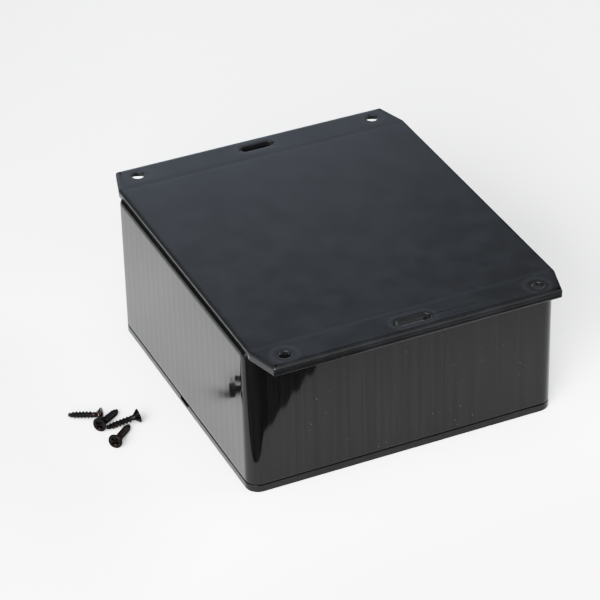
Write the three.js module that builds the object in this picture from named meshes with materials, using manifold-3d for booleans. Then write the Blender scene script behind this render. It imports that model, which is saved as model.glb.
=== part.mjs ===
// A cellular signal booster in a flanged ABS enclosure, as an assembly of separate parts.
//
// Units are millimetres. +Z is up, +X is to the right along the front edge and +Y is to the rear.
// The enclosure stands on its screw-on cover, with the mounting flange on top, and the origin is
// the centre of the cover's underside. The four cover screws lie on the same surface beside it.

import * as THREE from 'three';
import { mergeVertices } from 'three/addons/utils/BufferGeometryUtils.js';
import Module from 'manifold-3d';

const wasm = await Module();
wasm.setup();

// ---------------------------------------------------------------- driving dimensions

// Enclosure
const BODY_WIDTH = 120;          // outside size of the walls along X
const BODY_LENGTH = 120;         // outside size of the walls along Y
const HEIGHT = 60;               // underside of the cover to the flange's mounting face
const WALL = 2.4;
const CORNER_R = 5;              // upright outside corners
const SHOULDER_R = 3;            // rounding where the side walls turn into the top
const EDGE_STEP = 1.2;           // how far the flange plate stands above that shoulder
const WELD = 0.2;                // how far moulded features run into the wall they grow from

// Flange plate, with a tapered ear past the front wall and another past the rear wall
const PLATE_THICK = 3.3;
const PLATE_INSET = 1.25;        // plate's side edges from the walls' outer faces
const EAR = 12.75;               // how far each ear reaches past its wall
const EAR_TAPER = 3.75;          // how much narrower each side of an ear is at its end
const EAR_HOLE_D = 4.3;
const EAR_HOLE_IN = 11.6;        // hole centres from the side walls' outer faces
const EAR_HOLE_OUT = 6.4;        // hole centres out from the front or rear wall's outer face
const EAR_RECESS_D = 9.4;         // round recess for a screw head, from the ear's underside
const EAR_RECESS_DEPTH = 2.1;
const SLOT_LENGTH = 13.2;        // end to end
const SLOT_WIDTH = 3.8;

// Cover
const COVER_THICK = 3;
const SEAM = 0.3;                // gap between the cover and the walls' ends
const LIP_HEIGHT = 3;
const LIP_THICK = 1.8;
const LIP_CLEAR = 0.3;           // between the lip and the walls
const NOTCH_WIDTH = 7;           // pry notch in the left edge
const NOTCH_DEPTH = 2.4;
const NOTCH_HEIGHT = 1.4;

// Cover screws: countersunk, self-tapping
const SCREW_LENGTH = 12.7;
const HEAD_D = 5.4;
const HEAD_RIM = 0.35;           // straight edge of the head
const THREAD_D = 2.7;
const THREAD_ROOT_D = 2.1;
const THREAD_PITCH = 1.06;
const TIP_D = 1.6;
const TIP_TAPER = 2;             // length of the tapered end
const RECESS_WIDTH = 0.8;        // cross recess in the head
const RECESS_SPAN = 3;
const RECESS_DEPTH = 1.2;
const SCREW_CLEAR = 0.3;         // radial clearance in the cover and the pilot holes

// Inside of the housing
const POST_WIDTH = 8.6;          // screw posts in the corners
const PILOT_DEPTH = 14;
const RIB_COUNT = 20;            // card guide ribs on a full wall
const RIB_PITCH = 5.08;
const RIB_THICK = 1.3;
const RIB_DEPTH = 1.6;
const RIB_FOOT = 6;              // from the walls' ends to the ribs
const PORT_WALL_CLEAR = 34;      // half the stretch of the port wall that has no ribs
const STANDOFF_D = 7;
const STANDOFF_LENGTH = 19.8;    // roof to the board

// Circuit board and what it carries
const BOARD_THICK = 1.6;
const BOARD_LENGTH = 97;         // along X
const BOARD_WIDTH = 94;          // along Y
const BOARD_TO_WALL = 2.1;       // board edge to the inside of the port wall
const BOARD_HOLE_D = 3.4;
const BOARD_HOLE_X = 80.5;       // pitch of the fixing holes
const BOARD_HOLE_Y = 82;
const BOARD_HOLE_INSET = 5;      // fixing holes from the board's left edge
const BOARD_SCREW_D = 2.8;
const BOARD_SCREW_HEAD_D = 5.6;
const BOARD_SCREW_LENGTH = 8;
const SEAT = 0.1;                // gap left where one part is seated on another
const SHIELD_X = -12;            // amplifier chains, from the board's middle
const SHIELD_Y = 21;
const DUPLEXER_X = 23;
const DUPLEXER_Y = 26;
const CONTROLLER_X = 18;
const EDGE_INSET = 7;            // power parts, from the board's left edge
const PAD_THICK = 1;             // soft pad between the board and the heat sink
const SINK_TO_ROOF = 7.3;

// Ports through the right wall
const PORT_PITCH = 52;           // between the two antenna connectors
const CONNECTOR_D = 9.4;
const CONNECTOR_OUT = 9.5;       // how far the connector stands out of the wall
const CONNECTOR_BORE_D = 5;
const CONNECTOR_SHOULDER = 1.3;  // how far the square base reaches past the barrel
const PORT_CLEAR = 0.3;          // radial clearance of every port
const NUT_WALL = 1.3;            // least wall of the nut, past the barrel
const NUT_THICK = 2.4;
const WASHER_BORDER = 2;         // how far the washer reaches past the barrel
const WASHER_THICK = 0.7;
const JACK_Y = -3;
const JACK_WIDTH = 9;
const JACK_HEIGHT = 11;
const JACK_DEPTH = 13;
const JACK_NOSE_D = 7.6;
const JACK_BORE_D = 5.6;
const JACK_PIN_D = 2.1;
const PIPE_Y = 11;
const PIPE_D = 3;
const PIPE_COLLAR_D = 5;

// Where the four loose screws lie: head centre out from the left wall, its Y, and the heading
// of the tip in degrees
const LOOSE_SCREWS = [
  [30.4, 5.3, 143.8],
  [33.4, -0.3, 38.3],
  [18.3, -1.1, 179.2],
  [32, -12.3, 45.5],
];

const ROUND = 32;                // facets on large round parts
const SMALL_ROUND = 20;          // facets on small round parts

// ---------------------------------------------------------------- places worked out from them

const cavityWidth = BODY_WIDTH - 2 * WALL;
const cavityLength = BODY_LENGTH - 2 * WALL;
const roof = HEIGHT - PLATE_THICK;
const wallEnd = COVER_THICK + SEAM;
const rightWallInside = cavityWidth / 2;
const postX = cavityWidth / 2 - POST_WIDTH / 2 + WELD;
const postY = cavityLength / 2 - POST_WIDTH / 2 + WELD;
const earHoleX = BODY_WIDTH / 2 - EAR_HOLE_IN;
const earHoleY = BODY_LENGTH / 2 + EAR_HOLE_OUT;
const boardRight = rightWallInside - BOARD_TO_WALL;
const boardLeft = boardRight - BOARD_LENGTH;
const boardMidX = (boardLeft + boardRight) / 2;
const boardTop = roof - STANDOFF_LENGTH - SEAT;
const boardUnder = boardTop - BOARD_THICK;
const boardMidZ = boardTop - BOARD_THICK / 2;
const fixingX = [boardLeft + BOARD_HOLE_INSET, boardLeft + BOARD_HOLE_INSET + BOARD_HOLE_X];
const fixingY = [-BOARD_HOLE_Y / 2, BOARD_HOLE_Y / 2];
const jackMid = boardUnder - SEAT - JACK_HEIGHT / 2;
const pipeMid = boardUnder - 2;

// ---------------------------------------------------------------- materials

function plastic(color, roughness) {
  return new THREE.MeshStandardMaterial({ color, roughness, metalness: 0 });
}

function metal(color, roughness) {
  return new THREE.MeshStandardMaterial({ color, roughness, metalness: 1 });
}

const glossBlack = plastic(0x0b0b0c, 0.18);
const satinBlack = plastic(0x131314, 0.35);
const blackSteel = metal(0x17130f, 0.35);
const boardGreen = plastic(0x0f4a2c, 0.4);
const zincSteel = metal(0xb9bcc0, 0.3);
const nickel = metal(0xc8c4b8, 0.22);
const tinplate = metal(0xc9ccd0, 0.28);
const ceramic = plastic(0xb9b4a6, 0.6);
const chipBlack = plastic(0x1b1b1d, 0.6);
const aluminium = metal(0xa9abad, 0.45);
const padGrey = plastic(0x8b929c, 0.8);
const clearPlastic = plastic(0xdfe6ea, 0.15);
const ferrite = plastic(0x2b2c2e, 0.7);

// ---------------------------------------------------------------- solids

// A closed three.js geometry as a solid that can be joined and cut.
function solid(geometry) {
  const bare = geometry.clone();
  bare.deleteAttribute('normal');
  bare.deleteAttribute('uv');
  const merged = mergeVertices(bare, 1e-4);
  const corners = merged.index.array;
  const kept = [];
  for (let i = 0; i < corners.length; i += 3) {
    const [a, b, c] = [corners[i], corners[i + 1], corners[i + 2]];
    if (a !== b && b !== c && c !== a) kept.push(a, b, c);
  }
  const vertProperties = new Float32Array(merged.attributes.position.array);
  const triVerts = new Uint32Array(kept);
  return new wasm.Manifold(new wasm.Mesh({ numProp: 3, vertProperties, triVerts }));
}

// A finished solid as a named mesh.
function part(name, material, shape) {
  const result = shape.getMesh();
  const geometry = new THREE.BufferGeometry();
  geometry.setAttribute('position', new THREE.BufferAttribute(result.vertProperties, 3));
  geometry.setIndex(new THREE.BufferAttribute(result.triVerts, 1));
  geometry.computeVertexNormals();
  const mesh = new THREE.Mesh(geometry, material);
  mesh.name = name;
  return mesh;
}

function join(shapes) {
  return shapes.reduce((whole, shape) => whole.add(shape));
}

function cut(whole, shapes) {
  return shapes.reduce((rest, shape) => rest.subtract(shape), whole);
}

// A box between two opposite corners.
function box([x0, y0, z0], [x1, y1, z1]) {
  const geometry = new THREE.BoxGeometry(x1 - x0, y1 - y0, z1 - z0);
  geometry.translate((x0 + x1) / 2, (y0 + y1) / 2, (z0 + z1) / 2);
  return solid(geometry);
}

// A shape of revolution about Z. The profile lists [radius, z] from its lower end on the axis
// to its upper end on the axis.
function turned(profile, segments = ROUND) {
  const points = profile.map(([radius, z]) => new THREE.Vector2(radius, z));
  const geometry = new THREE.LatheGeometry(points, segments);
  geometry.rotateX(Math.PI / 2);
  return solid(geometry);
}

// An upright cylinder between two heights.
function rod(x, y, z0, z1, diameter, segments = SMALL_ROUND) {
  const radius = diameter / 2;
  return turned([[0, z0], [radius, z0], [radius, z1], [0, z1]], segments).translate([x, y, 0]);
}

// A solid made about Z, turned so that its +Z points along +X.
function alongX(shape, x, y, z) {
  return shape.rotate([0, 90, 0]).translate([x, y, z]);
}

function prism(shape, z0, z1, options = {}) {
  const settings = { depth: z1 - z0, bevelEnabled: false, curveSegments: 6, ...options };
  const geometry = new THREE.ExtrudeGeometry(shape, settings);
  geometry.translate(0, 0, z0);
  return solid(geometry);
}

function roundedRectangle(width, length, radius) {
  const x = width / 2 - radius;
  const y = length / 2 - radius;
  const outline = new THREE.Shape();
  outline.absarc(x, y, radius, 0, Math.PI / 2);
  outline.absarc(-x, y, radius, Math.PI / 2, Math.PI);
  outline.absarc(-x, -y, radius, Math.PI, 1.5 * Math.PI);
  outline.absarc(x, -y, radius, 1.5 * Math.PI, 2 * Math.PI);
  outline.closePath();
  return outline;
}

function polygon(points) {
  return new THREE.Shape(points.map(([x, y]) => new THREE.Vector2(x, y)));
}

// ---------------------------------------------------------------- housing

// Plan of the flange plate: straight sides, and an ear at each end that narrows outwards.
function plateOutline() {
  const x = BODY_WIDTH / 2 - PLATE_INSET;
  const wall = BODY_LENGTH / 2;
  const end = wall + EAR;
  const endX = x - EAR_TAPER;
  return polygon([
    [x, -wall], [x, wall], [endX, end], [-endX, end],
    [-x, wall], [-x, -wall], [-endX, -end], [endX, -end],
  ]);
}

// The walls with their rounded shoulder, still solid inside.
function wallBlock() {
  const top = HEIGHT - EDGE_STEP;
  const outline = roundedRectangle(
    BODY_WIDTH - 2 * SHOULDER_R, BODY_LENGTH - 2 * SHOULDER_R, CORNER_R - SHOULDER_R);
  const bevel = {
    bevelEnabled: true, bevelThickness: SHOULDER_R, bevelSize: SHOULDER_R, bevelSegments: 5,
  };
  const block = prism(outline, 0, top - SHOULDER_R, bevel);
  const below = box([-BODY_WIDTH, -BODY_LENGTH, -HEIGHT], [BODY_WIDTH, BODY_LENGTH, wallEnd]);
  return block.subtract(below);
}

function cavity() {
  const outline = roundedRectangle(cavityWidth, cavityLength, CORNER_R - WALL);
  return prism(outline, -1, roof);
}

function screwPosts() {
  const shape = roundedRectangle(POST_WIDTH, POST_WIDTH, CORNER_R - WALL - WELD);
  const posts = [];
  for (const x of [-postX, postX]) {
    for (const y of [-postY, postY]) {
      posts.push(prism(shape, wallEnd, roof + WELD).translate([x, y, 0]));
    }
  }
  return posts;
}

function pilotHoles() {
  const diameter = THREAD_D + 2 * SCREW_CLEAR;
  const holes = [];
  for (const x of [-postX, postX]) {
    for (const y of [-postY, postY]) {
      holes.push(rod(x, y, wallEnd - 1, wallEnd + PILOT_DEPTH, diameter));
    }
  }
  return holes;
}

// One card guide rib on the front or rear wall (side -1 or 1), or, across X, on the left or
// right wall.
function rib(offset, side, acrossX) {
  const inside = (acrossX ? cavityWidth : cavityLength) / 2;
  const reach = [side * (inside - RIB_DEPTH), side * (inside + WELD)];
  const low = Math.min(...reach);
  const high = Math.max(...reach);
  const from = offset - RIB_THICK / 2;
  const to = offset + RIB_THICK / 2;
  const z0 = wallEnd + RIB_FOOT;
  const z1 = roof + WELD;
  return acrossX ? box([low, from, z0], [high, to, z1]) : box([from, low, z0], [to, high, z1]);
}

function guideRibs() {
  const ribs = [];
  for (let step = 0; step < RIB_COUNT; step += 1) {
    const offset = (step - (RIB_COUNT - 1) / 2) * RIB_PITCH;
    ribs.push(rib(offset, -1, false), rib(offset, 1, false), rib(offset, -1, true));
    if (Math.abs(offset) > PORT_WALL_CLEAR) ribs.push(rib(offset, 1, true));
  }
  return ribs;
}

function standoffs() {
  const posts = [];
  for (const x of fixingX) {
    for (const y of fixingY) posts.push(rod(x, y, boardTop + SEAT, roof + WELD, STANDOFF_D));
  }
  return posts;
}

function standoffHoles() {
  const top = boardTop + SEAT + BOARD_SCREW_LENGTH;
  const holes = [];
  for (const x of fixingX) {
    for (const y of fixingY) {
      holes.push(rod(x, y, boardTop - 1, top, BOARD_SCREW_D + 2 * SCREW_CLEAR));
    }
  }
  return holes;
}

function portHole(y, z, diameter) {
  const length = 3 * WALL;
  return alongX(rod(0, 0, 0, length, diameter + 2 * PORT_CLEAR, ROUND), rightWallInside - WALL, y, z);
}

function portHoles() {
  return [
    portHole(-PORT_PITCH / 2, boardMidZ, CONNECTOR_D),
    portHole(PORT_PITCH / 2, boardMidZ, CONNECTOR_D),
    portHole(JACK_Y, jackMid, JACK_NOSE_D),
    portHole(PIPE_Y, pipeMid, PIPE_D),
  ];
}

function flangeOpenings() {
  const slot = roundedRectangle(SLOT_LENGTH, SLOT_WIDTH, SLOT_WIDTH / 2 - 0.01);
  const openings = [];
  for (const y of [-earHoleY, earHoleY]) {
    openings.push(prism(slot, roof - 1, HEIGHT + 1).translate([0, y, 0]));
    for (const x of [-earHoleX, earHoleX]) {
      openings.push(
        rod(x, y, roof - 1, HEIGHT + 1, EAR_HOLE_D, ROUND),
        rod(x, y, roof - 1, roof + EAR_RECESS_DEPTH, EAR_RECESS_D, ROUND));
    }
  }
  return openings;
}

function housing() {
  const shell = wallBlock().add(prism(plateOutline(), roof, HEIGHT)).subtract(cavity());
  const moulded = join([shell, ...screwPosts(), ...guideRibs(), ...standoffs()]);
  const cuts = [...pilotHoles(), ...standoffHoles(), ...portHoles(), ...flangeOpenings()];
  return part('housing', glossBlack, cut(moulded, cuts));
}

// ---------------------------------------------------------------- cover and its screws

// Locating lip: a straight piece inside each wall, stopping short of the corner posts.
function coverLip() {
  const outX = cavityWidth / 2 - LIP_CLEAR;
  const outY = cavityLength / 2 - LIP_CLEAR;
  const endX = postX - POST_WIDTH / 2 - LIP_CLEAR;
  const endY = postY - POST_WIDTH / 2 - LIP_CLEAR;
  const z0 = COVER_THICK - WELD;
  const z1 = COVER_THICK + LIP_HEIGHT;
  return [
    box([-endX, -outY, z0], [endX, -outY + LIP_THICK, z1]),
    box([-endX, outY - LIP_THICK, z0], [endX, outY, z1]),
    box([-outX, -endY, z0], [-outX + LIP_THICK, endY, z1]),
    box([outX - LIP_THICK, -endY, z0], [outX, endY, z1]),
  ];
}

// Countersunk clearance hole, widest at the cover's underside.
function countersink(x, y) {
  const mouth = HEAD_D / 2 + SCREW_CLEAR;
  const bore = THREAD_D / 2 + SCREW_CLEAR;
  const seat = HEAD_RIM + mouth - bore;
  const profile = [
    [0, -1], [mouth, -1], [mouth, HEAD_RIM], [bore, seat], [bore, COVER_THICK + 1], [0, COVER_THICK + 1],
  ];
  return turned(profile, ROUND).translate([x, y, 0]);
}

function cover() {
  const plate = prism(roundedRectangle(BODY_WIDTH, BODY_LENGTH, CORNER_R), 0, COVER_THICK);
  const cuts = [];
  for (const x of [-postX, postX]) {
    for (const y of [-postY, postY]) cuts.push(countersink(x, y));
  }
  const edge = -BODY_WIDTH / 2;
  cuts.push(box(
    [edge - 1, -NOTCH_WIDTH / 2, COVER_THICK - NOTCH_HEIGHT],
    [edge + NOTCH_DEPTH, NOTCH_WIDTH / 2, COVER_THICK + 1]));
  return part('cover', satinBlack, cut(plate, cuts).add(join(coverLip())));
}

// A countersunk self-tapping screw about Z: head face at z = 0, tip at -SCREW_LENGTH.
function coverScrewSolid() {
  const crest = THREAD_D / 2;
  const root = THREAD_ROOT_D / 2;
  const headEnd = HEAD_RIM + HEAD_D / 2 - crest;
  const taperStart = SCREW_LENGTH - TIP_TAPER;
  const profile = [[0, -SCREW_LENGTH], [TIP_D / 2, -SCREW_LENGTH], [root, -taperStart]];
  const turns = Math.floor((taperStart - headEnd) / THREAD_PITCH);
  for (let turn = 0; turn < turns; turn += 1) {
    const z = -taperStart + turn * THREAD_PITCH;
    profile.push([crest, z + 0.35 * THREAD_PITCH], [root, z + THREAD_PITCH]);
  }
  profile.push([crest, -headEnd], [HEAD_D / 2, -HEAD_RIM], [HEAD_D / 2, 0], [0, 0]);
  const blank = turned(profile, SMALL_ROUND);
  const span = RECESS_SPAN / 2;
  const width = RECESS_WIDTH / 2;
  return cut(blank, [
    box([-span, -width, -RECESS_DEPTH], [span, width, 1]),
    box([-width, -span, -RECESS_DEPTH], [width, span, 1]),
  ]);
}

// A loose screw lies on the rim of its head and on its last full thread.
function looseScrew(index, [out, y, heading]) {
  const lastThread = SCREW_LENGTH - TIP_TAPER - 0.35 * THREAD_PITCH;
  const droop = Math.asin((HEAD_D - THREAD_D) / 2 / lastThread);
  const mesh = part(`cover_screw_${index + 1}`, blackSteel, coverScrewSolid());
  const direction = THREE.MathUtils.degToRad(heading);
  const tip = new THREE.Vector3(
    Math.cos(direction) * Math.cos(droop), Math.sin(direction) * Math.cos(droop), -Math.sin(droop));
  mesh.quaternion.setFromUnitVectors(new THREE.Vector3(0, 0, -1), tip);
  mesh.position.set(-BODY_WIDTH / 2 - out, y, HEAD_D / 2 * Math.cos(droop));
  return mesh;
}

// ---------------------------------------------------------------- circuit board

function mainBoard() {
  const outline = [[boardLeft, -BOARD_WIDTH / 2, boardUnder], [boardRight, BOARD_WIDTH / 2, boardTop]];
  const holes = [];
  for (const x of fixingX) {
    for (const y of fixingY) holes.push(rod(x, y, boardUnder - 1, boardTop + 1, BOARD_HOLE_D));
  }
  return part('main_board', boardGreen, cut(box(...outline), holes));
}

// Pan-head screws hold the board up against the standoffs.
function boardScrews() {
  const screws = [];
  const head = boardUnder - SEAT;
  const tip = boardTop + BOARD_SCREW_LENGTH - 1;
  const profile = [
    [0, head - 2], [BOARD_SCREW_HEAD_D / 2 - 0.8, head - 2], [BOARD_SCREW_HEAD_D / 2, head - 1.2],
    [BOARD_SCREW_HEAD_D / 2, head], [BOARD_SCREW_D / 2, head], [BOARD_SCREW_D / 2, tip - 1],
    [0.6, tip], [0, tip],
  ];
  for (const x of fixingX) {
    for (const y of fixingY) {
      const blank = turned(profile, SMALL_ROUND);
      const cross = [
        box([-1.5, -0.4, head - 3], [1.5, 0.4, head - 1]),
        box([-0.4, -1.5, head - 3], [0.4, 1.5, head - 1]),
      ];
      const name = `board_screw_${screws.length + 1}`;
      screws.push(part(name, zincSteel, cut(blank, cross).translate([x, y, 0])));
    }
  }
  return screws;
}

// A box hanging under the board, as its chips and filters do.
function underBoard(x, y, width, length, height) {
  const z1 = boardUnder - SEAT;
  return box([x - width / 2, y - length / 2, z1 - height], [x + width / 2, y + length / 2, z1]);
}

// Pressed tinplate can over one amplifier chain, open towards the board.
function shieldCan(name, y) {
  const [x, width, length, height, sheet] = [boardMidX + SHIELD_X, 42, 34, 5, 0.5];
  const inner = underBoard(x, y, width - 2 * sheet, length - 2 * sheet, height - sheet);
  const shell = underBoard(x, y, width, length, height).subtract(inner.translate([0, 0, SEAT]));
  return part(name, tinplate, shell.subtract(inner));
}

function amplifierChip(name, y) {
  return part(name, chipBlack, underBoard(boardMidX + SHIELD_X, y, 7, 7, 1.2));
}

// Ceramic block duplexer with its row of resonator bores facing the port wall.
function duplexer(name, y) {
  const [x, width, length, height] = [boardMidX + DUPLEXER_X, 10, 26, 7];
  const block = underBoard(x, y, width, length, height);
  const mid = boardUnder - SEAT - height / 2;
  const bores = [-8, 0, 8].map((step) => (
    alongX(rod(0, 0, 0, width, 3, SMALL_ROUND), x - width / 2 + 2, y + step, mid)));
  return part(name, ceramic, cut(block, bores));
}

// Electrolytic capacitor standing on its square base.
function capacitor(name, x, y) {
  const top = boardUnder - SEAT;
  const can = turned([
    [0, -11], [3.6, -11], [4, -10.6], [4, -3.4], [3.7, -3], [4, -2.6], [4, -1.2], [0, -1.2],
  ], SMALL_ROUND).translate([x, y, top]);
  return part(name, aluminium, can.add(underBoard(x, y, 8.4, 8.4, 1.4)));
}

function powerInductor() {
  const [x, y, width, height] = [boardLeft + EDGE_INSET, 28, 10, 5];
  const z1 = boardUnder - SEAT;
  const block = prism(roundedRectangle(width, width, 2.5), z1 - height, z1);
  return part('power_inductor', ferrite, block.translate([x, y, 0]));
}

// Finned block on the far side of the board, pressed onto it through a soft pad.
function heatSink() {
  const [width, length, base, fins, finThick] = [52, 62, 2.5, 8, 1.6];
  const x = boardMidX - 10;
  const z0 = boardTop + PAD_THICK + 2 * SEAT;
  const z1 = roof - SINK_TO_ROOF;
  const plate = box([x - width / 2, -length / 2, z0], [x + width / 2, length / 2, z0 + base]);
  const pitch = (width - finThick) / (fins - 1);
  const blades = [];
  for (let fin = 0; fin < fins; fin += 1) {
    const from = x - width / 2 + fin * pitch;
    blades.push(box([from, -length / 2, z0 + base - WELD], [from + finThick, length / 2, z1]));
  }
  const pad = box([x - 24, -28, boardTop + SEAT], [x + 24, 28, boardTop + PAD_THICK + SEAT]);
  return [
    part('heat_sink', aluminium, plate.add(join(blades))),
    part('thermal_pad', padGrey, pad),
  ];
}

// ---------------------------------------------------------------- ports

// Threaded coaxial connector whose legs grip the edge of the board, with its washer and nut.
function antennaPort(name, y) {
  const wallOutside = BODY_WIDTH / 2;
  const radius = CONNECTOR_D / 2;
  const face = rightWallInside - SEAT;
  const nose = wallOutside + CONNECTOR_OUT;
  const boreEnd = wallOutside + 1;
  const barrel = alongX(turned([
    [0, face - 1.6], [radius, face - 1.6], [radius, nose - 0.5], [radius - 0.5, nose], [0, nose],
  ]), 0, y, boardMidZ);
  const bore = alongX(rod(0, 0, boreEnd, nose + 1, CONNECTOR_BORE_D), 0, y, boardMidZ);
  const half = radius + CONNECTOR_SHOULDER;
  const base = box([face - 1.8, y - half, boardMidZ - half], [face, y + half, boardMidZ + half]);
  const legIn = boardRight - 6;
  const grip = BOARD_THICK / 2 + SEAT;
  const legs = [];
  for (const side of [-1, 1]) {
    const legY = y + side * (half - 1);
    for (const [low, high] of [[-grip - 1.2, -grip], [grip, grip + 1.2]]) {
      legs.push(box(
        [legIn, legY - 1, boardMidZ + low], [face - 1.6, legY + 1, boardMidZ + high]));
    }
  }
  const pinZ = boardTop + SEAT;
  const centre = box([boardRight - 3, y - 0.5, pinZ], [face - 1.6, y + 0.5, pinZ + 0.8]);
  const connector = join([barrel, base, ...legs, centre]).subtract(bore);

  const washerFrom = wallOutside + SEAT;
  const washerRing = ring(CONNECTOR_D + 2 * WASHER_BORDER, WASHER_THICK);
  const nutFrom = washerFrom + WASHER_THICK + SEAT;
  return [
    part(`${name}_connector`, nickel, connector),
    part(`${name}_washer`, zincSteel, alongX(washerRing, washerFrom, y, boardMidZ)),
    part(`${name}_nut`, nickel, alongX(hexNut(), nutFrom, y, boardMidZ)),
  ];
}

function ring(diameter, thickness) {
  const hole = CONNECTOR_D / 2 + PORT_CLEAR;
  const outline = new THREE.Shape().absarc(0, 0, diameter / 2, 0, 2 * Math.PI);
  outline.holes.push(new THREE.Path().absarc(0, 0, hole, 0, 2 * Math.PI));
  return prism(outline, 0, thickness, { curveSegments: ROUND / 2 });
}

function hexNut() {
  const reach = (CONNECTOR_D / 2 + NUT_WALL) / Math.cos(Math.PI / 6);
  const corners = [];
  for (let side = 0; side < 6; side += 1) {
    corners.push([reach * Math.cos(side * Math.PI / 3), reach * Math.sin(side * Math.PI / 3)]);
  }
  const outline = polygon(corners);
  outline.holes.push(new THREE.Path().absarc(0, 0, CONNECTOR_D / 2 + PORT_CLEAR, 0, 2 * Math.PI));
  return prism(outline, 0, NUT_THICK, { curveSegments: ROUND / 2 });
}

// Power jack: a block under the board with a round nose through the wall and a centre pin.
function dcJack() {
  const face = rightWallInside - SEAT;
  const nose = BODY_WIDTH / 2 + 0.6;
  const back = face - JACK_DEPTH;
  const block = box(
    [back, JACK_Y - JACK_WIDTH / 2, jackMid - JACK_HEIGHT / 2],
    [face, JACK_Y + JACK_WIDTH / 2, jackMid + JACK_HEIGHT / 2]);
  const snout = alongX(rod(0, 0, face - 1, nose, JACK_NOSE_D, ROUND), 0, JACK_Y, jackMid);
  const bore = alongX(rod(0, 0, back + 3, nose + 1, JACK_BORE_D), 0, JACK_Y, jackMid);
  const pin = alongX(rod(0, 0, back + 2, nose - 1.5, JACK_PIN_D), 0, JACK_Y, jackMid);
  return part('dc_jack', satinBlack, block.add(snout).subtract(bore).add(pin));
}

// Indicator: a lamp under the board and the clear pipe that brings its light through the wall.
function indicator() {
  const radius = PIPE_D / 2;
  const collar = PIPE_COLLAR_D / 2;
  const face = rightWallInside - SEAT;
  const dome = BODY_WIDTH / 2 + 1;
  const pipe = turned([
    [0, face - 1.4], [collar, face - 1.4], [collar, face], [radius, face],
    [radius, dome - 0.8], [radius - 0.4, dome - 0.2], [0, dome],
  ], SMALL_ROUND);
  const lampEnd = face - 1.4 - SEAT;
  const lamp = box([lampEnd - 3, PIPE_Y - 1.6, pipeMid - 1.5], [lampEnd, PIPE_Y + 1.6, boardUnder - SEAT]);
  return [
    part('light_pipe', clearPlastic, alongX(pipe, 0, PIPE_Y, pipeMid)),
    part('status_led', ceramic, lamp),
  ];
}

// ---------------------------------------------------------------- assembly

const booster = new THREE.Group();
booster.add(housing());
booster.add(cover());
LOOSE_SCREWS.forEach((place, index) => booster.add(looseScrew(index, place)));
booster.add(mainBoard());
booster.add(...boardScrews());
booster.add(...antennaPort('donor', PORT_PITCH / 2));
booster.add(...antennaPort('server', -PORT_PITCH / 2));
booster.add(dcJack());
booster.add(...indicator());
booster.add(shieldCan('uplink_shield', SHIELD_Y), shieldCan('downlink_shield', -SHIELD_Y));
booster.add(amplifierChip('uplink_amplifier', SHIELD_Y));
booster.add(amplifierChip('downlink_amplifier', -SHIELD_Y));
booster.add(duplexer('uplink_duplexer', DUPLEXER_Y), duplexer('downlink_duplexer', -DUPLEXER_Y));
booster.add(part('controller_chip', chipBlack, underBoard(boardMidX + CONTROLLER_X, 0, 12, 12, 1.4)));
booster.add(part('regulator_chip', chipBlack, underBoard(boardLeft + EDGE_INSET, 12, 6, 6, 1.5)));
booster.add(powerInductor());
booster.add(capacitor('capacitor_1', boardLeft + EDGE_INSET, -8));
booster.add(capacitor('capacitor_2', boardLeft + EDGE_INSET, -19));
booster.add(...heatSink());

export default booster;
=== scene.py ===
import math

import bmesh
import bpy
import numpy as np
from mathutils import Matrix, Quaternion, Vector
from mathutils.geometry import tessellate_polygon


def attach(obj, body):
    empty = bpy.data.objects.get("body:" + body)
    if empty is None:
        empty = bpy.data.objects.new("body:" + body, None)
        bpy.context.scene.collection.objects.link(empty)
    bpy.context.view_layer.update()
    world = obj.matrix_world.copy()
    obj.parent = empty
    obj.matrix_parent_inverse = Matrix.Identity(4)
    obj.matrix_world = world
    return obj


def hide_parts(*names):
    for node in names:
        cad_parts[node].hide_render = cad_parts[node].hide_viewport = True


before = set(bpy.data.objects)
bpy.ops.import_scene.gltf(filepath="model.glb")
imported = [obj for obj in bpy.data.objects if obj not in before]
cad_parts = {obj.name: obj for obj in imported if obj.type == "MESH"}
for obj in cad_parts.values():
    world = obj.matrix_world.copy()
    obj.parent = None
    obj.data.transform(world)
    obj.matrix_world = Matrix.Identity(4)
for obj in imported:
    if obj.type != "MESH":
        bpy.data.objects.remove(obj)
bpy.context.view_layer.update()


# ---------------------------------------------------------------- flange plate
# The closed top of the housing: an ABS plate moulded in one piece with the walls, with an ear
# past the front and rear walls. Each ear has a slot and two screw holes, recessed underneath for
# the heads. Its face is fine satin, with soft sink marks and a ring round every opening.
PLATE_TOP, PLATE_UNDER = 60.0, 56.7
PLATE_HALF, EAR_HALF, WALL_OUT, EAR_END = 58.75, 55.0, 60.0, 72.75
HOLE_X, HOLE_Y, HOLE_RADIUS = 48.4, 66.4, 2.15
RECESS_RADIUS, RECESS_TOP = 4.7, 58.8
SLOT_HALF, SLOT_RADIUS = 6.6, 1.9


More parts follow.
